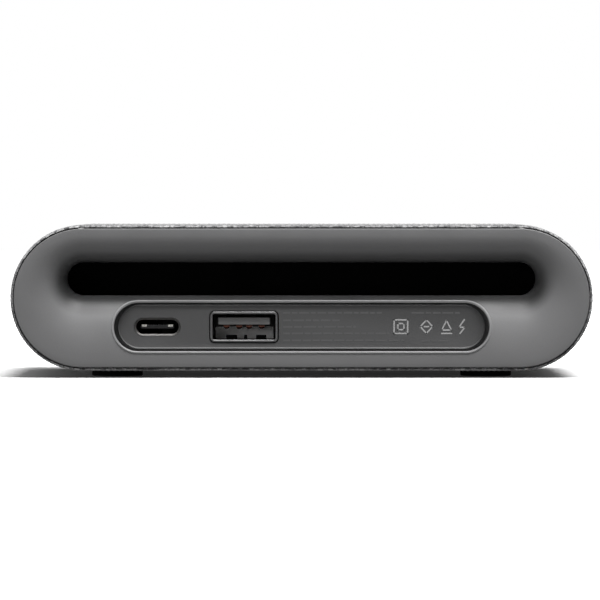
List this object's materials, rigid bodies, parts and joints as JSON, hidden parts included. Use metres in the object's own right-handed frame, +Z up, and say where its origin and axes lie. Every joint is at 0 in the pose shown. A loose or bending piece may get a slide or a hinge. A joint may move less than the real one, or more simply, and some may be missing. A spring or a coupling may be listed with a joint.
{
  "type": "wireless charging pad",
  "caption": "Pill-shaped charging pad wrapped in grey cloth, with a long recessed slot in each plastic end and a port panel with USB-C and USB-A sockets under the rear slot.",
  "frame": {"origin": "under the middle of the body, on the surface that the feet stand on", "axes": "+X to the right as seen from behind, -Y towards the rear end with the ports, +Z up"},
  "size_m": [0.116, 0.072, 0.0304],
  "materials": {
    "case_plastic": "fine sandblasted texture",
    "panel_plastic": "fine sandblasted texture",
    "liner_plastic": "matte black",
    "shell_plastic": "moulded",
    "sleeve_cloth": "heathered plain weave",
    "port_steel": "bright plated",
    "port_plastic": "moulded",
    "contact_gold": "plated",
    "board_laminate": "lacquered",
    "coil_copper": "enamelled copper",
    "ferrite": "sintered",
    "shield_aluminium": "rolled",
    "chip_plastic": "moulded",
    "capacitor_plastic": "dipped",
    "screw_steel": "plated",
    "foot_rubber": "matte",
    "lens_plastic": "frosted",
    "cable_plastic": "polyimide film"
  },
  "bodies": {
    "root": {"fabric_sleeve": "sleeve_cloth", "upper_shell": "shell_plastic", "lower_shell": "shell_plastic", "rear_bezel": "case_plastic", "front_bezel": "case_plastic", "rear_slot_liner": "liner_plastic", "front_slot_liner": "liner_plastic", "port_panel": "panel_plastic", "usb_c_shell": "port_steel", "usb_c_tongue": "port_plastic", "usb_a_shell": "port_steel", "usb_a_tongue": "port_plastic", "usb_a_contact_1": "contact_gold", "usb_a_contact_2": "contact_gold", "usb_a_contact_3": "contact_gold", "usb_a_contact_4": "contact_gold", "main_board": "board_laminate", "controller_chip": "chip_plastic", "power_inductor": "chip_plastic", "power_transistor_1": "chip_plastic", "power_transistor_2": "chip_plastic", "resonant_capacitor_1": "capacitor_plastic", "resonant_capacitor_2": "capacitor_plastic", "resonant_capacitor_3": "capacitor_plastic", "resonant_capacitor_4": "capacitor_plastic", "charging_coil": "coil_copper", "coil_lead_inner": "coil_copper", "coil_lead_outer": "coil_copper", "ferrite_shield": "ferrite", "shield_plate": "shield_aluminium", "coil_carrier": "shell_plastic", "temperature_sensor": "chip_plastic", "status_lens": "lens_plastic", "status_led": "lens_plastic", "led_board": "board_laminate", "led_cable": "cable_plastic", "housing_screw_1": "screw_steel", "housing_screw_2": "screw_steel", "housing_screw_3": "screw_steel", "housing_screw_4": "screw_steel", "foot_1": "foot_rubber", "foot_2": "foot_rubber", "foot_3": "foot_rubber", "foot_4": "foot_rubber"}
  },
  "joints": []
}
